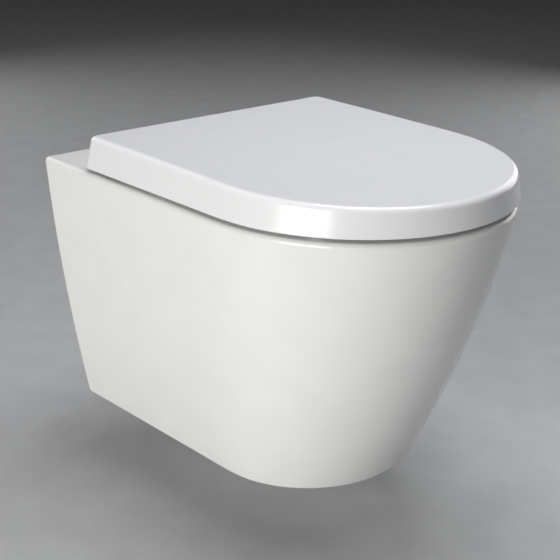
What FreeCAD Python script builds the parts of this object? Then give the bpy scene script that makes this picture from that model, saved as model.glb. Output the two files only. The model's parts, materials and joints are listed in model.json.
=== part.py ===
"""Wall hung toilet: fully skirted rimless pan, wrap-over soft-close lid, seat ring, hinges and wall fixings.

Millimetres, with +Z up and +Y into the wall. X = 0 is the centreline and Y = 0 the wall, so the whole
object lies at negative Y. Heights below are counted from the top of the pan, and the finished pieces are
lifted so that the origin is midway between the two wall studs. The lid and the seat ring are drawn closed.
"""

import FreeCAD
import Part
import math
import os

V = FreeCAD.Vector
X_AXIS = V(1, 0, 0)
Y_AXIS = V(0, 1, 0)
Z_AXIS = V(0, 0, 1)

# ---------------------------------------------------------------- driving sizes, millimetres
# Pan, outside
projection = 520.0            # wall to nose, at the top
pan_half_width = 186.0        # at the wall, at the top
pan_height = 328.0
front_half_width = 185.0      # of the curved front, at the top
straight_depth = 319.0        # wall to the middle of the front ellipse, at the top
foot_half_width = 140.5       # at the wall, at the bottom
foot_front_half_width = 130.0
foot_straight_depth = 276.0
foot_projection = 399.0
side_bulge = 0.47             # share of the side's slope that comes as a curve
front_bulge = 0.38            # the same for the front
rim_round = 5.0               # top outer edge
foot_round = 3.0              # bottom outer edge
back_overrun = 5.0            # the form runs this far behind the wall before the back is cut flat
front_spans = 16              # of a D-shaped outline's curved front
side_spans = 6                # of each of its sides

# Pan, walls
skirt_wall = 11.0
bowl_wall = 10.0
deck_thickness = 15.0         # top of the pan round the bowl and under the hinges
foot_thickness = 12.0
rear_wall = 16.0
rear_opening_top = -112.0     # of the opening in the back for the outlet
rear_opening_half_width = 112.0
hand_hole_depth = 112.0       # wall to the front edge of the hand hole in the underside
opening_round = 14.0

# Bowl: height, half width, back and front of each level of the inside
bowl_levels = (
    (0.0, 139.0, -172.0, -474.0),
    (-26.0, 138.0, -173.0, -473.0),
    (-46.0, 126.0, -185.0, -461.0),
    (-95.0, 116.0, -190.0, -440.0),
    (-150.0, 92.0, -189.0, -396.0),
    (-205.0, 62.0, -187.0, -335.0),
    (-250.0, 44.0, -186.0, -288.0),
    (-296.0, 33.0, -186.0, -264.0),
)
bowl_power = 2.4              # 2 is an ellipse, more is squarer
bowl_points = 32              # points on the outline of each level
bowl_rim_round = 6.0

# Waste: trap and outlet
outlet_height = -180.0        # axis of the outlet
outlet_inner_radius = 45.0
outlet_outer_radius = 51.0
outlet_recess = 4.0           # the spigot stops this far in front of the wall
outlet_length = 46.0
outlet_shoulder = 2.0         # step on the spigot where a connector's sleeve stops
trap_radius = 28.0
trap_wall = 9.0
trap_turn = 80.0              # steepness of the rising leg, degrees
trap_start = -186.0           # where the trap leaves the sump
sump_reach = 40.0             # how far the trap's mouth runs into the sump
water_seal = 50.0
web_thickness = 12.0          # rib between the outlet and the flush inlet's socket
web_setback = 34.0            # wall to the rib

# Flush inlet
inlet_above_outlet = 135.0
inlet_radius = 27.5
inlet_depth = 46.0
inlet_wall = 8.5
flush_pipe_radius = 22.5
inlet_seal_length = 36.0
inlet_seal_setback = 2.0
inlet_lip = 1.2               # height and half width of the seal's lips
duct_half_width = 32.0
duct_half_height = 11.0
duct_wall = 8.0

# Wall fixings
stud_spacing = 180.0
stud_above_outlet = 100.0
stud_thread_radius = 5.1      # minor radius of the M12 thread
stud_thread_depth = 40.0
carrier_radius = 14.0         # round steel carrier screwed on each stud
carrier_length = 58.0
carrier_flat = 9.0            # axis to the flat that the clamp screw presses on
carrier_flat_length = 26.0
carrier_key_flats = 10.0      # hexagon socket in the carrier's front end
carrier_key_depth = 8.0
liner_wall = 2.5
liner_length = 59.0
fixing_clearance = 0.4
tunnel_depth = 68.0
tunnel_wall = 8.0
clamp_setback = 38.0          # wall to the clamp screw
clamp_boss_radius = 17.0
clamp_boss_height = 14.0      # below the tunnel's inside
clamp_screw_radius = 5.0
clamp_screw_length = 30.0
clamp_socket_depth = 6.0
clamp_socket_flats = 5.0
clamp_bush_radius = 8.0
clamp_bush_flange_radius = 11.0
clamp_bush_flange = 3.0
clamp_flange_seat = 2.5       # flange's underside below the tunnel's inside

# Hinge line
hinge_setback = 100.0         # wall to the hinge axis
hinge_height = 29.0           # top of the pan to the hinge axis
hinge_spacing = 155.0         # between the two fixing holes
hinge_hole_offset = 25.0      # fixing hole in front of the hinge axis
hinge_hole_radius = 7.5
gasket_thickness = 1.0
gasket_radius = 19.5
post_radius = 19.0
post_thickness = 4.0
boss_radius = 6.5
boss_height = 8.0
groove_depth = 0.8
block_half_length = 20.0
block_foot_depth = 17.0       # front to back, round the post
block_bridge = 12.0           # thickness of the arm from the foot to the barrel
block_front_round = 7.0
block_side_round = 1.5
barrel_radius = 7.7
block_gap = 0.3
bolt_radius = 3.0             # M6
bolt_clearance = 0.2
bolt_head_radius = 5.5
bolt_head_depth = 3.3
bolt_length = 50.0
bolt_socket_flats = 4.0
anchor_clearance = 0.3        # rubber anchor in the ceramic hole
anchor_length = 32.0
anchor_bulge = 2.0            # how far the rubber swells under the deck
anchor_bulge_length = 8.0
anchor_nut_radius = 5.0
anchor_nut_length = 11.0
anchor_nut_flange = 2.0
grub_radius = 2.0             # M4
grub_length = 6.0
grub_socket_flats = 2.0
damper_radius = 6.0
damper_length = 27.0
shaft_radius = 3.5
shaft_flat = 2.6              # axis to each flat, in the lug
shaft_in_damper = 18.0
running_clearance = 0.05
lug_radius = 7.5
lug_width = 11.0
lug_gap = 1.0                 # between a lug and the hinge block
neck_back = 3.0               # back of a lid bracket's neck behind the hinge axis
pin_radius = 3.5
pin_in_block = 9.0

# Lid
lid_half_width = 186.5        # at the skirt's lower edge, at the back
lid_front_half_width = 184.5
lid_back = 84.5               # wall to the lid's back edge, at its foot
lid_straight_depth = 331.0
lid_front = 519.1
lid_bottom = 5.7
lid_corner = 12.0
lid_side_draft = 8.5          # how far the skirt leans in over its height, at the sides
lid_back_draft = 1.0
lid_front_draft = 5.0
lid_top_back = 41.8           # top surface at the back edge
lid_top_middle = 39.2
lid_top_front = 35.0
lid_edge_round = 6.5
lid_lip_round = 1.2           # lower edge of the skirt
lid_wall = 4.5
lid_plate = 4.5
notch_clearance = 1.5         # each side of a hinge's lugs

# Seat ring
seat_bottom = 7.0
seat_top = 27.0
seat_gap = 2.5                # between the ring and the lid's skirt
seat_back_gap = 1.6           # between the turning ring and the hinge blocks
seat_corner = 14.0
seat_hole_half_width = 112.0
seat_hole_back = 190.0
seat_hole_front = 452.0
seat_edge_round = 5.0
seat_lower_round = 2.0
seat_inner_round = 8.0

# Brackets and buffers
bracket_plate = 3.0
bracket_depth = 34.0          # plate, front to back
bracket_width = 20.0
bracket_lap = 5.0             # plate's back edge in front of the ring's back edge
arm_rise = 3.5                # top of the seat bracket's arm above the hinge axis
screw_radius = 1.9
screw_head_radius = 3.4
screw_head_height = 1.8
screw_bite = 3.6              # length in the moulding
screw_head_gap = 0.2          # between the head and the sloping plate under it
screw_inset = 8.0             # screw to the plate's edge
buffer_radius = 7.0
buffer_edge = 1.2
buffer_stem_radius = 2.5
lid_stem_length = 2.5         # stem of a buffer in the lid
seat_stem_length = 6.0
buffer_gap = 0.3
buffer_back = 210.0           # wall to the rear pair
buffer_front = 425.0
buffer_inset = 20.0           # in from the ring's outer edge

# ---------------------------------------------------------------- what follows from them
inlet_height = outlet_height + inlet_above_outlet
stud_height = outlet_height + stud_above_outlet
hinge_y = -hinge_setback
block_reach = hinge_hole_offset + block_foot_depth / 2
seat_back = hinge_setback + math.hypot(block_reach, barrel_radius - block_front_round) + seat_back_gap
liner_outer = carrier_radius + fixing_clearance + liner_wall
tunnel_radius = liner_outer + fixing_clearance
post_top = gasket_thickness + post_thickness
SIDES = (("left", -1), ("right", 1))


# ---------------------------------------------------------------- helpers
def box(x0, x1, y0, y1, z0, z1):
    return Part.makeBox(x1 - x0, y1 - y0, z1 - z0, V(x0, y0, z0))


def rod(radius, start, direction, length):
    return Part.makeCylinder(radius, length, start, direction)


def tube(outer, inner, start, direction, length):
    return rod(outer, start, direction, length).cut(rod(inner, start, direction, length))


def hexagon_hole(flats, start, direction, depth):
    """Hexagonal prism, flats apart across its sides, for a socket."""
    reach = flats / math.sqrt(3)
    turns = [math.radians(60 * i) for i in range(7)]
    points = [V(reach * math.cos(t), reach * math.sin(t), 0) for t in turns]
    prism = Part.Face(Part.makePolygon(points)).extrude(Z_AXIS * depth)
    prism.Placement = FreeCAD.Placement(start, FreeCAD.Rotation(Z_AXIS, direction))
    return prism


def one_solid(shape):
    """The shape's single solid, cleaned of needless seams."""
    solids = shape.removeSplitter().Solids
    if len(solids) != 1:
        raise ValueError(f"expected one solid and got {len(solids)}")
    return solids[0]


def export(name, *solids):
    """Write one node, lifted so that the wall studs lie at Z = 0."""
    shape = solids[0] if len(solids) == 1 else Part.makeCompound(list(solids))
    os.makedirs("parts", exist_ok=True)
    shape.translated(V(0, 0, -stud_height)).exportStep(f"parts/{name}.step")


def blend(top, foot, share, bulge):
    """A size at a share of the height down, on a line from top to foot that bulges outwards."""
    return top + (foot - top) * (share * (1 - bulge) + share ** 2 * bulge)


def outline(z, back, back_half, front_half, straight, nose):
    """D-shaped wire at height z, as seen from above, with its depths counted from the wall.

    A straight back, and one curve for the rest: two sides that touch the front's half ellipse, and the
    ellipse between them.
    """
    reach = nose - straight
    u, v = back_half / front_half, (straight - back) / reach
    touch = math.acos(1 / math.hypot(u, v)) - math.atan2(v, u)
    turns = [touch + (math.pi - 2 * touch) * i / front_spans for i in range(front_spans + 1)]
    front = [V(front_half * math.cos(t), -straight - reach * math.sin(t), z) for t in turns]
    back_right, back_left = V(back_half, -back, z), V(-back_half, -back, z)
    right_side, left_side = front[0] - back_right, back_left - front[-1]
    steps = [i / side_spans for i in range(side_spans)]
    points = [back_right + right_side * s for s in steps] + front
    points += [back_left - left_side * s for s in reversed(steps)]
    curve = Part.BSplineCurve()
    curve.interpolate(Points=points, InitialTangent=right_side, FinalTangent=left_side)
    return Part.Wire([curve.toShape(), Part.makeLine(back_left, back_right)])


def loft(wires):
    return Part.makeLoft(wires, True, False)


# ---------------------------------------------------------------- pan
def pan_section(share, inset=0.0):
    """Outline of the pan at a share of its height down, moved in by inset."""
    return outline(
        -pan_height * share,
        -back_overrun,
        blend(pan_half_width, foot_half_width, share, side_bulge) - inset,
        blend(front_half_width, foot_front_half_width, share, side_bulge) - inset,
        blend(straight_depth, foot_straight_depth, share, front_bulge),
        blend(projection, foot_projection, share, front_bulge) - inset,
    )


def runs_along(edge, along):
    """Whether an edge is a straight one along an axis."""
    ends = [v.Point for v in edge.Vertexes]
    return len(ends) == 2 and (ends[1] - ends[0]).cross(along).Length < 0.001


def level(edge, height):
    return abs(edge.BoundBox.ZMin - height) < 0.01 and abs(edge.BoundBox.ZMax - height) < 0.01


def rounded(shape, radius, height):
    """The shape with its outer edges at one height rounded, apart from the edge on the wall."""
    edges = [e for e in shape.Edges if level(e, height) and e.BoundBox.YMin < -1.0]
    return shape.makeFillet(radius, edges)


def pan_outside():
    body = loft([pan_section(i / 4) for i in range(5)])
    body = body.common(box(-projection, projection, -2 * projection, 0.0, -2 * pan_height, pan_height))
    body = rounded(body, rim_round, 0.0)
    return rounded(body, foot_round, -pan_height)


def pan_hollow():
    """Space inside the skirt, under the deck and above the foot."""
    space = loft([pan_section(i / 4, skirt_wall) for i in range(5)])
    top, bottom = -deck_thickness, foot_thickness - pan_height
    return space.common(box(-pan_half_width, pan_half_width, -projection, -rear_wall, bottom, top))


def bowl_ring(level, grow):
    """Closed curve round the bowl at one level: a squared ellipse."""
    height, half, back, front = level
    middle, reach = (back + front) / 2, (back - front) / 2 + grow
    power = 2 / bowl_power
    points = []
    for i in range(bowl_points):
        turn = 2 * math.pi * (i + 0.5) / bowl_points
        c, s = math.cos(turn), math.sin(turn)
        x = math.copysign(abs(c) ** power, c) * (half + grow)
        y = middle + math.copysign(abs(s) ** power, s) * reach
        points.append(V(x, y, height))
    curve = Part.BSplineCurve()
    curve.interpolate(Points=points, PeriodicFlag=True)
    return Part.Wire([curve.toShape()])


def bowl_body(grow):
    """The bowl's inside, or with grow its outside, from the top of the pan to the sump."""
    body = loft([bowl_ring(level, grow) for level in bowl_levels])
    if not grow:
        return body
    lowest = bowl_levels[-1]
    floor = loft([bowl_ring(lowest, grow), bowl_ring((lowest[0] - grow,) + lowest[1:], grow / 2)])
    return body.fuse(floor)


def trap_path():
    """Centre line of the trap: out of the sump, up the rising leg and level into the outlet."""
    weir = outlet_height - trap_radius
    start_height = weir - water_seal - trap_radius
    turn = math.radians(trap_turn)
    bend = (outlet_height - start_height) / (2 * (1 - math.cos(turn)))

    def low(angle):
        return V(0, trap_start + bend * math.sin(angle), start_height + bend * (1 - math.cos(angle)))

    end = V(0, trap_start + 2 * bend * math.sin(turn), outlet_height)

    def high(angle):
        return V(0, end.y - bend * math.sin(angle), end.z - bend * (1 - math.cos(angle)))

    mouth = V(0, trap_start - sump_reach, start_height)
    first = V(0, trap_start, start_height)
    last = V(0, -outlet_recess - outlet_length + trap_radius / 2, outlet_height)
    return Part.Wire([
        Part.makeLine(mouth, first),
        Part.Arc(first, low(turn / 2), low(turn)).toShape(),
        Part.Arc(high(turn), high(turn / 2), end).toShape(),
        Part.makeLine(end, last),
    ])


def trap_body(radius):
    path = trap_path()
    mouth = path.Vertexes[0].Point
    ring = Part.Wire([Part.makeCircle(radius, mouth, Y_AXIS)])
    return path.makePipeShell([ring], True, True).fuse(Part.makeSphere(radius, mouth))


def duct_block(grow, front, back):
    """Flat duct from the inlet's socket forward to the bowl."""
    half, rise = duct_half_width + grow, duct_half_height + grow
    return box(-half, half, front, back, inlet_height - rise, inlet_height + rise)


def inlet_outside():
    socket = rod(inlet_radius + inlet_wall, V(0, 0, inlet_height), -Y_AXIS, inlet_depth + inlet_wall)
    return socket.fuse(duct_block(duct_wall, bowl_levels[0][2] - duct_wall, duct_wall - inlet_depth))


def stud_points():
    return [V(side * stud_spacing / 2, 0, stud_height) for _, side in SIDES]


def hinge_points():
    """Middles of the seat's two fixing holes."""
    return [V(side * hinge_spacing / 2, hinge_y - hinge_hole_offset, 0) for _, side in SIDES]


def clamp_point(stud, below):
    """A point under the carrier, on the clamp screw's axis."""
    return V(stud.x, -clamp_setback, stud.z - below)


def outlet_spigot():
    start, step = V(0, -outlet_recess, outlet_height), V(0, -web_setback, outlet_height)
    sleeve = rod(outlet_outer_radius, start, -Y_AXIS, start.y - step.y)
    end = start.y - outlet_length - trap_wall
    return sleeve.fuse(rod(outlet_outer_radius + outlet_shoulder, step, -Y_AXIS, step.y - end))


def outlet_web():
    """Rib that ties the outlet to the flush inlet's socket."""
    half = web_thickness / 2
    bottom = outlet_height + (outlet_inner_radius + outlet_outer_radius) / 2
    top = inlet_height - inlet_radius - inlet_wall / 2
    return box(-half, half, -inlet_depth - inlet_wall, -web_setback, bottom, top)


def stud_tunnel(stud):
    """Blind tunnel for a carrier, with a boss under it for the clamp."""
    tunnel = rod(tunnel_radius + tunnel_wall, stud, -Y_AXIS, tunnel_depth)
    return tunnel.fuse(rod(clamp_boss_radius, clamp_point(stud, 0), -Z_AXIS,
                           tunnel_radius + clamp_boss_height))


def stud_tunnel_room(stud):
    """What is cut from a tunnel: its bore, and the stepped hole for the clamp's bush."""
    seat = clamp_point(stud, 0)
    return rod(tunnel_radius, stud, -Y_AXIS, tunnel_depth - tunnel_wall).fuse([
        rod(clamp_bush_flange_radius + fixing_clearance, seat, -Z_AXIS, tunnel_radius + clamp_flange_seat),
        rod(clamp_bush_radius + fixing_clearance, seat, -Z_AXIS, tunnel_radius + clamp_boss_height + 1.0),
    ])


def access_openings():
    """Opening in the back, round the outlet, and hand hole in the underside."""
    half, bottom = rear_opening_half_width, -pan_height
    back = box(-half, half, -rear_wall - 1.0, 1.0, bottom - 1.0, rear_opening_top)
    top_corners = [e for e in back.Edges if runs_along(e, Y_AXIS) and level(e, rear_opening_top)]
    hand = box(-half, half, -hand_hole_depth, 1.0, bottom - 1.0, bottom + foot_thickness + 1.0)
    front_corners = [e for e in hand.Edges if runs_along(e, Z_AXIS)
                     and e.BoundBox.YMax < 1.0 - hand_hole_depth]
    return back.makeFillet(opening_round, top_corners).fuse(hand.makeFillet(opening_round, front_corners))


def pan():
    """One vitreous china casting: skirt, deck, bowl, trap, outlet, flush duct and stud tunnels."""
    outside = pan_outside()
    trap, spigot, web = trap_body(trap_radius + trap_wall), outlet_spigot(), outlet_web()
    inner_walls = [bowl_body(bowl_wall), trap, spigot, inlet_outside(), web]
    inner_walls += [stud_tunnel(stud) for stud in stud_points()]
    body = outside.cut(pan_hollow()).fuse([wall.common(outside) for wall in inner_walls])

    rim_back, rim_front = bowl_levels[0][2], bowl_levels[0][3]
    cuts = [
        access_openings().cut([trap, spigot, web]),
        bowl_body(0.0),
        trap_body(trap_radius),
        rod(outlet_inner_radius, V(0, -outlet_recess, outlet_height), -Y_AXIS, outlet_length),
        rod(inlet_radius, V(0, 0, inlet_height), -Y_AXIS, inlet_depth),
        duct_block(0.0, rim_back - 2 * duct_wall, 1.0 - inlet_depth),
    ]
    cuts += [stud_tunnel_room(stud) for stud in stud_points()]
    cuts += [rod(hinge_hole_radius, hinge, -Z_AXIS, deck_thickness) for hinge in hinge_points()]
    body = body.cut(cuts)
    rim = [e for e in body.Edges if level(e, 0.0) and rim_front - 5.0 < e.BoundBox.YMin
           and e.BoundBox.YMax < rim_back + 5.0]
    return one_solid(body.makeFillet(bowl_rim_round, rim))


# ---------------------------------------------------------------- lid
def under_crown(drop):
    """Everything under the lid's crowned top surface, moved down by drop."""
    back, middle = V(0, -lid_back, lid_top_back), V(0, -lid_straight_depth, lid_top_middle)
    arc = Part.Arc(back, middle, V(0, -lid_front, lid_top_front)).toShape().Curve
    start = V(-lid_front, arc.Center.y, arc.Center.z)
    return rod(arc.Radius - drop, start, X_AXIS, 2 * lid_front)


def lid_section(height, inset):
    """Outline of the lid at a height, moved in by its draft and by inset."""
    side, front = lid_lean(lid_side_draft, height) + inset, lid_lean(lid_front_draft, height) + inset
    return outline(height, lid_back + lid_lean(lid_back_draft, height) + inset, lid_half_width - side,
                   lid_front_half_width - side, lid_straight_depth, lid_front - front)


def lid_lean(draft, height):
    return draft * (height - lid_bottom) / (lid_top_back - lid_bottom)


def lid_block(inset, drop, bottom):
    """Solid of the lid's form, from a height up to the crown, with round corners at the back."""
    block = loft([lid_section(bottom, inset), lid_section(lid_top_back + lid_wall, inset)])
    corners = [e for e in block.Edges if e.BoundBox.YMin > -lid_back - lid_corner
               and e.BoundBox.XLength < lid_corner and e.BoundBox.ZLength > lid_top_back / 2]
    return block.makeFillet(lid_corner - inset, corners).common(under_crown(drop))


def lid_inside():
    return lid_block(lid_wall, lid_plate, lid_bottom - 1.0)


def lid():
    """Wrap-over moulding: crowned top, skirt all round, heel cut for its swing, notches for the hinges."""
    body = lid_block(0.0, 0.0, lid_bottom)
    body = body.makeFillet(lid_edge_round, [e for e in body.Edges if e.BoundBox.ZMin > lid_top_front - 1.0])
    body = body.makeFillet(lid_lip_round, [e for e in body.Edges if level(e, lid_bottom)])
    cuts = [lid_inside()]
    for hinge in hinge_points():
        reach = block_half_length + lug_gap + lug_width + notch_clearance
        notch = box(hinge.x - reach, hinge.x + reach, -lid_back - 2 * lid_wall, 0.0, 0.0, lid_top_back)
        cuts.append(notch.common(under_crown(lid_plate)))
    cuts += [screw_shank(point, Z_AXIS) for point in lid_screw_points()]
    cuts += [buffer_stem(point, lid_stem_length) for point in lid_buffer_points()]
    return one_solid(body.cut(cuts))


# ---------------------------------------------------------------- seat ring
def seat_outside():
    """The ring without its hole: it leans in as the lid's skirt does."""
    wires = []
    for z in (seat_bottom, seat_top):
        inset = lid_lean(lid_side_draft, z) + lid_wall + seat_gap
        front = lid_front - lid_lean(lid_front_draft, z) - lid_wall - seat_gap
        wires.append(outline(z, seat_back, lid_half_width - inset, lid_front_half_width - inset,
                             lid_straight_depth, front))
    block = loft(wires)
    corners = [e for e in block.Edges if e.BoundBox.YMin > -seat_back - 1.0 and e.BoundBox.ZLength > 1.0]
    return block.makeFillet(seat_corner, corners)


def seat_ring():
    body = seat_outside()
    body = body.makeFillet(seat_edge_round, [e for e in body.Edges if level(e, seat_top)])
    body = body.makeFillet(seat_lower_round, [e for e in body.Edges if level(e, seat_bottom)])
    levels = [(z, seat_hole_half_width, -seat_hole_back, -seat_hole_front)
              for z in (seat_bottom, seat_top)]
    hole = loft([bowl_ring(one, 0.0) for one in levels])
    body = body.cut(hole)
    inner = [e for e in body.Edges if level(e, seat_top) and e.BoundBox.YMax < -seat_hole_back + 1.0
             and e.BoundBox.XMax < seat_hole_half_width + 1.0]
    body = body.makeFillet(seat_inner_round, inner)
    cuts = [screw_shank(point, -Z_AXIS) for point in seat_screw_points()]
    cuts += [buffer_stem(point, seat_stem_length) for point in seat_buffer_points()]
    return one_solid(body.cut(cuts))


# ---------------------------------------------------------------- buffers
def buffer_places():
    """The four places, seen from above, where rubber buffers stand between lid, ring and pan."""
    places = []
    for depth in (buffer_back, buffer_front):
        along = min(1.0, (depth - lid_back) / (lid_straight_depth - lid_back))
        widest = lid_half_width + (lid_front_half_width - lid_half_width) * along
        share = max(0.0, depth - lid_straight_depth) / (lid_front - lid_straight_depth)
        half = widest * math.sqrt(1 - share ** 2) - lid_wall - seat_gap - buffer_inset
        places += [V(-half, -depth, 0), V(half, -depth, 0)]
    return places


def seat_buffer_points():
    return [place + Z_AXIS * seat_bottom for place in buffer_places()]


def lid_buffer_points():
    return [V(place.x, place.y, ceiling(place)) for place in buffer_places()]


def ceiling(place):
    """Height of the lid's inside over a place."""
    line = Part.makeLine(V(place.x, place.y, 0), V(place.x, place.y, lid_top_back * 2))
    return line.common(under_crown(lid_plate)).BoundBox.ZMax


def buffer_stem(point, length):
    return rod(buffer_stem_radius, point, Z_AXIS, length)


def rubber_buffer(point, bottom, stem_length):
    """Round rubber foot from a height up to the point, with a stem above it."""
    foot = rod(buffer_radius, V(point.x, point.y, bottom), Z_AXIS, point.z - bottom)
    foot = foot.makeFillet(buffer_edge, [e for e in foot.Edges if level(e, bottom)])
    return one_solid(foot.fuse(buffer_stem(point, stem_length))) if stem_length else foot


def seat_buffers():
    return [rubber_buffer(point, buffer_gap, seat_stem_length) for point in seat_buffer_points()]


def lid_buffers():
    """Buffers whose feet are cut to the slope of the lid's inside."""
    buffers = []
    for point in lid_buffer_points():
        foot = rubber_buffer(point + Z_AXIS, seat_top + buffer_gap, 0.0).common(under_crown(lid_plate))
        buffers.append(one_solid(foot.fuse(buffer_stem(point - Z_AXIS, lid_stem_length + 1.0))))
    return buffers


# ---------------------------------------------------------------- screws and brackets
def screw_shank(point, into):
    """Shank of a self-tapping screw whose bracket plate touches the moulding at the point."""
    return rod(screw_radius, point - into * bracket_plate, into, bracket_plate + screw_bite)


def screw(point, into):
    under_head = point - into * (bracket_plate + screw_head_gap)
    head = rod(screw_head_radius, under_head - into * screw_head_height, into, screw_head_height)
    head = head.makeFillet(screw_head_height / 2, [head.Edges[index] for index in far_circle(head, -into)])
    neck = rod(screw_radius, under_head, into, screw_head_gap)
    return one_solid(head.fuse([neck, screw_shank(point, into)]))


def far_circle(shape, direction):
    """Index of the shape's round edge that lies furthest in a direction."""
    rounds = [i for i, e in enumerate(shape.Edges) if e.isClosed() and type(e.Curve).__name__ == "Circle"]
    return [max(rounds, key=lambda i: shape.Edges[i].CenterOfMass.dot(direction))]


def outer_lug(side):
    """The two ends, in X, of the lug outside a hinge block."""
    start = hinge_spacing / 2 + block_half_length + lug_gap
    return sorted((side * start, side * (start + lug_width)))


def inner_lug(side):
    start = hinge_spacing / 2 - block_half_length - lug_gap
    return sorted((side * start, side * (start - lug_width)))


def lid_plate_ends(side):
    """The two ends, in X, of the plate of a lid bracket."""
    low, high = outer_lug(side)
    return (low, low + bracket_width) if side > 0 else (high - bracket_width, high)


def lid_screw_points():
    points = []
    for _, side in SIDES:
        x = sum(lid_plate_ends(side)) / 2
        for y in (hinge_y - lug_radius - screw_inset, hinge_y - lug_radius - bracket_depth + screw_inset):
            points.append(V(x, y, ceiling(V(x, y, 0))))
    return points


def seat_screw_points():
    points = []
    for _, side in SIDES:
        x = sum(inner_lug(side)) / 2
        back = -seat_back - bracket_lap
        for y in (back - screw_inset, back - bracket_depth + screw_inset):
            points.append(V(x, y, seat_top))
    return points


def lug_hole(side, low, high, bearing):
    """Hole along a lug: round for a pin that it turns on, or with two flats for a damper's shaft."""
    start = V(low - 1.0, hinge_y, hinge_height)
    if bearing:
        return rod(pin_radius + running_clearance, start, X_AXIS, high - low + 2.0)
    return flatted_rod(shaft_radius + running_clearance, shaft_flat + running_clearance, start,
                       high - low + 2.0)


def flatted_rod(radius, flat, start, length):
    """Rod along X with two flats."""
    slab = box(start.x, start.x + length, start.y - radius, start.y + radius, start.z - flat,
               start.z + flat)
    return rod(radius, start, X_AXIS, length).common(slab)


def lid_bracket(side):
    """Lug round the hinge axis under a plate that is screwed to the lid's inside."""
    low, high = outer_lug(side)
    plate_low, plate_high = lid_plate_ends(side)
    lug = rod(lug_radius, V(low, hinge_y, hinge_height), X_AXIS, high - low)
    neck = box(low, high, hinge_y - lug_radius, hinge_y + neck_back, hinge_height, lid_top_back)
    plate = box(plate_low, plate_high, hinge_y - lug_radius - bracket_depth, hinge_y + neck_back,
                0.0, lid_top_back)
    plate = plate.cut(under_crown(lid_plate + bracket_plate))
    body = lug.fuse([neck, plate]).common(under_crown(lid_plate))
    holes = [screw_shank(point, Z_AXIS) for point in lid_screw_points()]
    return one_solid(body.cut([lug_hole(side, low, high, side > 0)] + holes))


def seat_bracket(side):
    """Lug round the hinge axis at the end of an arm whose plate is screwed to the ring's top."""
    low, high = inner_lug(side)
    middle = (low + high) / 2
    lug = rod(lug_radius, V(low, hinge_y, hinge_height), X_AXIS, high - low)
    back = -seat_back - bracket_lap
    arm = box(low, high, back - screw_inset / 2, hinge_y, seat_top, hinge_height + arm_rise)
    plate = box(middle - bracket_width / 2, middle + bracket_width / 2, back - bracket_depth, back,
                seat_top, seat_top + bracket_plate)
    holes = [screw_shank(point, -Z_AXIS) for point in seat_screw_points()]
    body = lug.fuse([arm, plate])
    return one_solid(body.cut([lug_hole(side, low, high, side < 0)] + holes))


# ---------------------------------------------------------------- hinges
def hinge_gasket(hinge):
    return tube(gasket_radius, bolt_radius + bolt_clearance, hinge, Z_AXIS, gasket_thickness)


def hinge_bolt(hinge, grow=0.0):
    """Countersunk M6 bolt, or with grow the room for it."""
    top = hinge + Z_AXIS * (post_top + boss_height)
    head = Part.makeCone(bolt_head_radius, bolt_radius, bolt_head_depth, top, -Z_AXIS)
    shank = rod(bolt_radius + grow, top - Z_AXIS * bolt_head_depth, -Z_AXIS, bolt_length - bolt_head_depth)
    body = head.fuse(shank)
    if grow:
        return body
    socket = hexagon_hole(bolt_socket_flats, top, -Z_AXIS, bolt_head_depth * 0.8)
    return one_solid(body.cut(socket))


def hinge_post(hinge):
    """Steel disc on the deck with a grooved boss that the hinge block drops over."""
    base = hinge + Z_AXIS * gasket_thickness
    disc = rod(post_radius, base, Z_AXIS, post_thickness)
    disc = disc.makeFillet(post_thickness / 4, [e for e in disc.Edges if level(e, post_top)])
    boss = rod(boss_radius, base, Z_AXIS, post_thickness + boss_height)
    groove_start = hinge + Z_AXIS * (grub_height() - grub_radius)
    groove = tube(boss_radius + 1.0, boss_radius - groove_depth, groove_start, Z_AXIS, 2 * grub_radius)
    return one_solid(disc.fuse(boss).cut([groove, hinge_bolt(hinge, bolt_clearance)]))


def grub_height():
    return post_top + boss_height / 2


def grub_start(side, hinge):
    """Where the grub screw meets the boss's groove, on the boss's side that faces the centreline."""
    return V(hinge.x - side * (boss_radius - groove_depth + running_clearance), hinge.y, grub_height())


def grub_screw(side, hinge):
    start = grub_start(side, hinge)
    outwards = X_AXIS * -side
    socket = hexagon_hole(grub_socket_flats, start + outwards * grub_length, -outwards, grub_length / 3)
    return one_solid(rod(grub_radius, start, outwards, grub_length).cut(socket))


def barrel_start(hinge):
    """Low end, in X, of the hinge block's barrel."""
    return V(hinge.x - block_half_length, hinge_y, hinge_height)


def hinge_block(side, hinge):
    """Foot over the post, with a barrel behind it: damper's bore on the left, pin's on the right."""
    low = barrel_start(hinge)
    x0, x1 = low.x, low.x + 2 * block_half_length
    front, back = hinge_y - block_reach, hinge_y - block_reach + block_foot_depth
    top = hinge_height + barrel_radius
    barrel = rod(barrel_radius, low, X_AXIS, 2 * block_half_length)
    foot = box(x0, x1, front, back, post_top, top)
    bridge = box(x0, x1, front, hinge_y, top - block_bridge, top)
    body = one_solid(foot.fuse([bridge, barrel]))
    front_edges = [e for e in body.Edges if runs_along(e, X_AXIS) and e.BoundBox.YMax < front + 0.01
                   and e.BoundBox.ZMin > top - 0.01]
    body = body.makeFillet(block_front_round, front_edges)
    body = body.makeFillet(block_side_round, [e for e in body.Edges if runs_along(e, Z_AXIS)])
    cuts = [
        rod(boss_radius + running_clearance, V(hinge.x, hinge.y, post_top), Z_AXIS, boss_height + block_gap),
        rod(damper_radius + running_clearance, low, X_AXIS, damper_length + block_gap),
        rod(pin_radius, V(x1, low.y, low.z), -X_AXIS, pin_in_block),
        rod(grub_radius + running_clearance, V(hinge.x, hinge.y, grub_height()), X_AXIS * -side,
            block_half_length + 1.0),
    ]
    return one_solid(body.cut(cuts))


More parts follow.
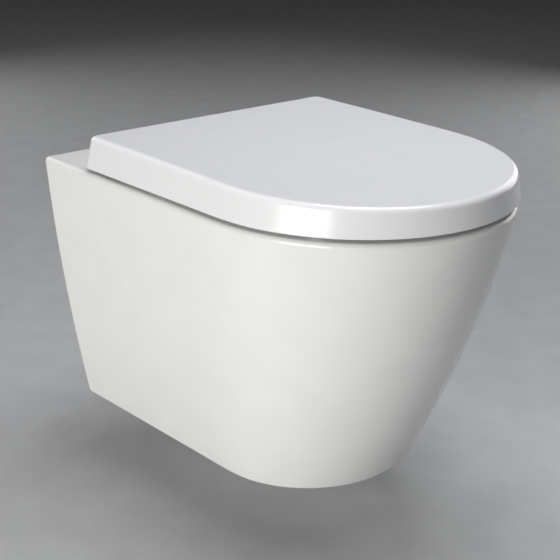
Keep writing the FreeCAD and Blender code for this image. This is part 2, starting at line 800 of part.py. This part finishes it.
def damper(hinge):
    """Sealed cartridge of thick oil round the shaft's inner end."""
    start = barrel_start(hinge)
    room = rod(shaft_radius + running_clearance, start, X_AXIS, shaft_in_damper + block_gap)
    return one_solid(rod(damper_radius, start, X_AXIS, damper_length).cut(room))


def damper_shaft(hinge, lug):
    """Shaft that a flatted lug turns inside the damper."""
    face = barrel_start(hinge)
    inside = rod(shaft_radius, face - X_AXIS * (lug_gap / 2), X_AXIS, shaft_in_damper + lug_gap / 2)
    outside = flatted_rod(shaft_radius, shaft_flat, V(lug[0], face.y, face.z), face.x - lug[0])
    return one_solid(inside.fuse(outside))


def hinge_pin(hinge, lug):
    start = barrel_start(hinge) + X_AXIS * (2 * block_half_length - pin_in_block)
    return rod(pin_radius, start, X_AXIS, lug[1] - start.x)


def hinge_anchor(hinge):
    """Rubber anchor in the ceramic hole, swollen under the deck where the nut draws it up."""
    radius = hinge_hole_radius - anchor_clearance
    top = hinge - Z_AXIS * anchor_clearance
    body = rod(radius, top, -Z_AXIS, anchor_length - anchor_clearance)
    bulge_top = hinge - Z_AXIS * (deck_thickness + anchor_clearance)
    bulge = rod(radius + anchor_bulge, bulge_top, -Z_AXIS, anchor_bulge_length)
    bulge = bulge.makeFillet(anchor_bulge, bulge.Edges)
    nut_room = rod(anchor_nut_radius, hinge - Z_AXIS * anchor_length, Z_AXIS, anchor_nut_length)
    bolt_room = rod(bolt_radius + bolt_clearance, hinge, -Z_AXIS, bolt_length)
    return one_solid(body.fuse(bulge).cut([nut_room, bolt_room]))


def anchor_nut(hinge):
    """Threaded bush with a flange that draws the anchor's lower end up."""
    end = hinge - Z_AXIS * anchor_length
    body = rod(anchor_nut_radius, end, Z_AXIS, anchor_nut_length)
    flange = rod(hinge_hole_radius - anchor_clearance, end, -Z_AXIS, anchor_nut_flange)
    bolt_room = rod(bolt_radius + running_clearance, hinge, -Z_AXIS, bolt_length)
    return one_solid(body.fuse(flange).cut(bolt_room))


# ---------------------------------------------------------------- wall fixings and connections
def stud_carrier(stud):
    """Steel bar screwed on a wall stud: the pan's tunnel slides over it."""
    body = rod(carrier_radius, stud, -Y_AXIS, carrier_length)
    body = body.makeChamfer(1.5, [e for e in body.Edges if e.BoundBox.YMax < -carrier_length + 0.01])
    thread = rod(stud_thread_radius, stud, -Y_AXIS, stud_thread_depth)
    flat = box(stud.x - carrier_radius, stud.x + carrier_radius, -clamp_setback - carrier_flat_length / 2,
               -clamp_setback + carrier_flat_length / 2, stud.z - carrier_radius, stud.z - carrier_flat)
    key = hexagon_hole(carrier_key_flats, stud - Y_AXIS * carrier_length, Y_AXIS, carrier_key_depth)
    return one_solid(body.cut([thread, flat, key]))


def stud_liner(stud):
    """Plastic tube between a carrier and the ceramic, with a hole for the clamp's bush."""
    body = tube(liner_outer, carrier_radius + fixing_clearance, stud, -Y_AXIS, liner_length)
    room = rod(clamp_bush_flange_radius + fixing_clearance, clamp_point(stud, 0), -Z_AXIS, 2 * liner_outer)
    return one_solid(body.cut(room))


def clamp_bush(stud):
    """Flanged nut let into the tunnel's floor: it takes the clamp screw's push."""
    seat = clamp_point(stud, tunnel_radius + clamp_flange_seat)
    flange = rod(clamp_bush_flange_radius, seat, Z_AXIS, clamp_bush_flange)
    body = rod(clamp_bush_radius, seat, -Z_AXIS, clamp_boss_height - clamp_flange_seat)
    room = rod(clamp_screw_radius + running_clearance, seat + Z_AXIS * clamp_bush_flange, -Z_AXIS,
               2 * clamp_boss_height)
    return one_solid(flange.fuse(body).cut(room))


def clamp_screw(stud):
    top = clamp_point(stud, carrier_flat)
    body = rod(clamp_screw_radius, top, -Z_AXIS, clamp_screw_length)
    body = body.makeChamfer(1.0, [e for e in body.Edges if level(e, top.z) and e.isClosed()])
    end = top - Z_AXIS * clamp_screw_length
    return one_solid(body.cut(hexagon_hole(clamp_socket_flats, end, Z_AXIS, clamp_socket_depth)))


def inlet_seal():
    """Rubber sleeve in the flush inlet, gripping the flush pipe, with three lips against the ceramic."""
    start = V(0, -inlet_seal_setback, inlet_height)
    body = rod(inlet_radius - inlet_lip, start, -Y_AXIS, inlet_seal_length)
    step = inlet_seal_length / 3
    for i in range(3):
        lip_start = start - Y_AXIS * (step * (i + 0.5) - inlet_lip)
        body = body.fuse(rod(inlet_radius - running_clearance, lip_start, -Y_AXIS, 2 * inlet_lip))
    return one_solid(body.cut(rod(flush_pipe_radius, V(0, 0, inlet_height), -Y_AXIS, 2 * inlet_depth)))


# ---------------------------------------------------------------- the assembly
hinges = hinge_points()
studs = stud_points()
left_hinge, right_hinge = hinges
left_stud, right_stud = studs

export("pan", pan())
export("lid", lid())
export("seat_ring", seat_ring())
export("lid_buffers", *lid_buffers())
export("seat_buffers", *seat_buffers())
for (name, side), hinge, stud in zip(SIDES, hinges, studs):
    export(f"{name}_lid_bracket", lid_bracket(side))
    export(f"{name}_seat_bracket", seat_bracket(side))
    export(f"{name}_hinge_block", hinge_block(side, hinge))
    export(f"{name}_hinge_post", hinge_post(hinge))
    export(f"{name}_stud_carrier", stud_carrier(stud))
    export(f"{name}_stud_liner", stud_liner(stud))
export("lid_bracket_screws", *[screw(point, Z_AXIS) for point in lid_screw_points()])
export("seat_bracket_screws", *[screw(point, -Z_AXIS) for point in seat_screw_points()])
export("lid_damper", damper(left_hinge))
export("lid_damper_shaft", damper_shaft(left_hinge, outer_lug(-1)))
export("seat_damper", damper(right_hinge))
export("seat_damper_shaft", damper_shaft(right_hinge, inner_lug(1)))
export("seat_hinge_pin", hinge_pin(left_hinge, inner_lug(-1)))
export("lid_hinge_pin", hinge_pin(right_hinge, outer_lug(1)))
export("hinge_gaskets", *[hinge_gasket(hinge) for hinge in hinges])
export("hinge_bolts", *[hinge_bolt(hinge) for hinge in hinges])
export("hinge_anchors", *[hinge_anchor(hinge) for hinge in hinges])
export("anchor_nuts", *[anchor_nut(hinge) for hinge in hinges])
export("hinge_grub_screws", grub_screw(-1, left_hinge), grub_screw(1, right_hinge))
export("clamp_bushes", *[clamp_bush(stud) for stud in studs])
export("clamp_screws", *[clamp_screw(stud) for stud in studs])
export("inlet_seal", inlet_seal())
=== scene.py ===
"""Wall hung toilet: glazed china pan and moulded lid, dressed and lit in a plain studio."""
import json
import math

import bpy
from mathutils import Matrix, Vector

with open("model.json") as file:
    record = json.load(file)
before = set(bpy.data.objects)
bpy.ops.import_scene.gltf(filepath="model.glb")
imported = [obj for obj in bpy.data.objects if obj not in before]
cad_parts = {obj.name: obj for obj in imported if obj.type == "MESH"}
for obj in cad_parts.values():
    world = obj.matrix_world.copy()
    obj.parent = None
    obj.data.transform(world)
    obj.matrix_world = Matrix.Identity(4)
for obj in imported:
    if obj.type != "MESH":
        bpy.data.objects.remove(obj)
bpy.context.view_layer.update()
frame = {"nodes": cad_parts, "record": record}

MM = 0.001
PAN_TOP = 80 * MM                 # height of the pan's top over the frame's origin


# ------------------------------------------------------------------ camera
CAMERA_AZIMUTH = math.radians(-41.28)
CAMERA_ELEVATION = math.radians(20.99)
CAMERA_ROLL = math.radians(0.63)
CAMERA_DISTANCE = 1353.3 * MM
CAMERA_TARGET = Vector((-36.1 * MM, -260.0 * MM, PAN_TOP - 118.2 * MM))
CAMERA_LENS = 74.84               # focal length in millimetres
CAMERA_SENSOR = 36.0              # width in millimetres


def make_camera():
    """The photograph's view: from the left and in front, a little above the lid."""
    back = Vector((
        math.sin(CAMERA_AZIMUTH) * math.cos(CAMERA_ELEVATION),
        -math.cos(CAMERA_AZIMUTH) * math.cos(CAMERA_ELEVATION),
        math.sin(CAMERA_ELEVATION),
    ))
    bpy.ops.object.camera_add(location=CAMERA_TARGET + back * CAMERA_DISTANCE)
    camera = bpy.context.object
    camera.name = "camera"
    level = (-back).to_track_quat("-Z", "Y").to_matrix()
    camera.rotation_euler = (level @ Matrix.Rotation(CAMERA_ROLL, 3, "Z")).to_euler()
    camera.data.lens = CAMERA_LENS
    camera.data.sensor_width = CAMERA_SENSOR
    bpy.context.scene.camera = camera


# ------------------------------------------------------------------ material tools
TINT_SPAN = (0.35, 0.65)          # the noise values where the two colours of a tint are reached
VARY_SPAN = (0.3, 0.7)            # and those where a varied number reaches its two ends


def srgb(code):
    """Linear colour, with alpha, from an sRGB hex code."""
    parts = [int(code[i:i + 2], 16) / 255 for i in (1, 3, 5)]
    linear = [p / 12.92 if p <= 0.04045 else ((p + 0.055) / 1.055) ** 2.4 for p in parts]
    return (*linear, 1.0)


def set_sockets(node, settings):
    """Sets a node's input sockets by name, with _ for a space."""
    for name, value in settings.items():
        node.inputs[name.replace("_", " ")].default_value = value


def add(tree, kind, links=(), **settings):
    """Adds a node, sets its sockets and links its inputs: (input, node, output)."""
    node = tree.nodes.new(kind)
    set_sockets(node, settings)
    for socket, source, output in links:
        tree.links.new(source.outputs[output], node.inputs[socket])
    return node


def new_material(name, **settings):
    """A material with these numbers on its shader; returns it, its node tree and its shader."""
    material = bpy.data.materials.new(name)
    material.use_nodes = True
    shader = material.node_tree.nodes["Principled BSDF"]
    set_sockets(shader, settings)
    return material, material.node_tree, shader


def noise(tree, size, detail=2.0, roughness=0.5):
    """Noise in object space whose lumps are about this size."""
    place = add(tree, "ShaderNodeTexCoord")
    return add(tree, "ShaderNodeTexNoise", [("Vector", place, "Object")],
               Scale=1 / size, Detail=detail, Roughness=roughness)


def tint(tree, shader, pattern, dark, light):
    """Drives the base colour from a pattern, between two colours."""
    ramp = add(tree, "ShaderNodeValToRGB", [("Fac", pattern, "Fac")])
    for stop, value, colour in zip(ramp.color_ramp.elements, TINT_SPAN, (dark, light)):
        stop.position = value
        stop.color = srgb(colour)
    tree.links.new(ramp.outputs["Color"], shader.inputs["Base Color"])


def vary_roughness(tree, shader, pattern, low, high):
    """Drives the roughness from a pattern, between two values."""
    spread = add(tree, "ShaderNodeMapRange", [("Value", pattern, "Fac")],
                 From_Min=VARY_SPAN[0], From_Max=VARY_SPAN[1], To_Min=low, To_Max=high)
    tree.links.new(spread.outputs["Result"], shader.inputs["Roughness"])


def emboss(tree, shader, pattern, depth):
    """Bump from a pattern, with its depth as a real size."""
    bump = add(tree, "ShaderNodeBump", [("Height", pattern, "Fac")], Strength=1.0, Distance=depth)
    tree.links.new(bump.outputs["Normal"], shader.inputs["Normal"])


# ------------------------------------------------------------------ finishes
def glazed_china():
    """Vitreous china under a fired glaze: deep gloss, faintly wavy where the glaze flowed."""
    material, tree, shader = new_material("glazed_vitreous_china", IOR=1.52)
    flow = noise(tree, 45 * MM, detail=1.0)
    tint(tree, shader, flow, "#F3F3F2", "#F5F5F3")
    vary_roughness(tree, shader, flow, 0.12, 0.145)
    emboss(tree, shader, noise(tree, 12 * MM, detail=1.0), 0.02 * MM)
    return material


def thermoset():
    """Compression moulded urea resin, polished: a white gloss, softer than the glaze."""
    material, tree, shader = new_material("moulded_urea_thermoset", IOR=1.55)
    haze = noise(tree, 30 * MM)
    tint(tree, shader, haze, "#F2F3F4", "#F4F4F5")
    vary_roughness(tree, shader, haze, 0.22, 0.245)
    emboss(tree, shader, noise(tree, 6 * MM, detail=1.0), 0.006 * MM)
    return material


def rubber(name, dark, light):
    """Moulded rubber: matt, with a dusty bloom. Its grain is drawn coarser than real, to show."""
    material, tree, shader = new_material(name, Roughness=0.7, IOR=1.52)
    tint(tree, shader, noise(tree, 4 * MM, detail=4.0), dark, light)
    emboss(tree, shader, noise(tree, 0.6 * MM), 0.03 * MM)
    return material


def plastic(name, dark, light, roughness):
    """Injection moulded acetal: satin. Its spark-eroded grain is drawn coarser than real, to show."""
    material, tree, shader = new_material(name, Roughness=roughness, IOR=1.48)
    tint(tree, shader, noise(tree, 9 * MM, detail=3.0), dark, light)
    emboss(tree, shader, noise(tree, 0.5 * MM), 0.01 * MM)
    return material


def metal(name, dark, light, low, high, grain):
    """Turned or plated metal: patches of finer and coarser polish, a grain apart."""
    material, tree, shader = new_material(name, Metallic=1.0)
    marks = noise(tree, grain, detail=6.0, roughness=0.7)
    tint(tree, shader, marks, dark, light)
    vary_roughness(tree, shader, marks, low, high)
    emboss(tree, shader, marks, 0.01 * MM)
    return material


def finish_nodes():
    """Gives every node of the frame the finish of its slot."""
    finishes = {
        "glazed_china": glazed_china(),
        "white_thermoset": thermoset(),
        "soft_rubber": rubber("translucent_buffer_rubber", "#CFCFCB", "#DDDDD8"),
        "black_rubber": rubber("black_epdm_rubber", "#141414", "#1E1E1E"),
        "white_plastic": plastic("white_acetal", "#E4E4E2", "#EBEBE9", 0.32),
        "grey_plastic": plastic("grey_acetal", "#8E9092", "#979A9C", 0.38),
        "black_plastic": plastic("black_acetal", "#151516", "#1D1D1F", 0.4),
        "stainless_steel": metal("turned_stainless_steel", "#B9BABB", "#C9CACB",
                                 low=0.22, high=0.34, grain=0.8 * MM),
        "zinc_plated_steel": metal("zinc_plated_steel", "#AEB2B8", "#C2C6CB",
                                   low=0.28, high=0.42, grain=2.5 * MM),
        "brass": metal("turned_brass", "#B8934A", "#C9A55C",
                       low=0.25, high=0.36, grain=0.8 * MM),
    }
    slots = {part["node"]: part["material_slot"] for part in frame["record"]["subparts"]}
    for name, node in frame["nodes"].items():
        for slot in node.material_slots:
            slot.material = finishes[slots[name]]


# ------------------------------------------------------------------ studio
FLOOR_HEIGHT = PAN_TOP - 400 * MM  # the pan's top hangs 400 mm over the floor, as on a wall
FLOOR_SIZE = 40.0                 # wide enough to fill the view
STUDIO_AIM = Vector((0, -250 * MM, -50 * MM))
ROOM_GLOW = 0.08                  # strength of the light from all round


def make_floor():
    """Matt painted floor, pale grey, with the unevenness of a roller."""
    bpy.ops.mesh.primitive_plane_add(size=FLOOR_SIZE, location=(0, 0, FLOOR_HEIGHT))
    floor = bpy.context.object
    floor.name = "floor"
    material, tree, shader = new_material("painted_studio_floor", Roughness=0.8)
    tint(tree, shader, noise(tree, 60 * MM, detail=3.0), "#BCBDBE", "#C2C3C4")
    floor.data.materials.append(material)


def softbox(name, direction, distance, size, power, colour="#FFFFFF"):
    """Square area light that faces the object from a direction: metres and watts."""
    place = STUDIO_AIM + Vector(direction).normalized() * distance
    bpy.ops.object.light_add(type="AREA", location=place)
    light = bpy.context.object
    light.name = name
    light.data.size = size
    light.data.energy = power
    light.data.color = srgb(colour)[:3]
    light.rotation_euler = (STUDIO_AIM - place).to_track_quat("-Z", "Y").to_euler()


def make_lights():
    """Key on the left, a cool light overhead, weak lights on the right and behind, a dim room."""
    softbox("key_softbox", direction=(-0.95, -0.31, 0.20), distance=3.0,
            size=1.6, power=65, colour="#FFFEFB")
    softbox("top_softbox", direction=(0.16, -0.08, 1.0), distance=1.4,
            size=0.9, power=13.5, colour="#FAFBFF")
    softbox("rim_softbox", direction=(0.97, 0.10, 0.26), distance=2.6, size=1.6, power=17)
    softbox("back_softbox", direction=(-0.05, 1.0, 0.26), distance=2.8, size=1.6, power=14)
    room = bpy.data.worlds.new("studio")
    room.use_nodes = True
    set_sockets(room.node_tree.nodes["Background"], {"Color": srgb("#B4B6B9"), "Strength": ROOM_GLOW})
    bpy.context.scene.world = room
    bpy.context.scene.view_settings.view_transform = "Standard"


make_camera()
bpy.ops.object.select_all(action="DESELECT")
finish_nodes()
make_floor()
make_lights()
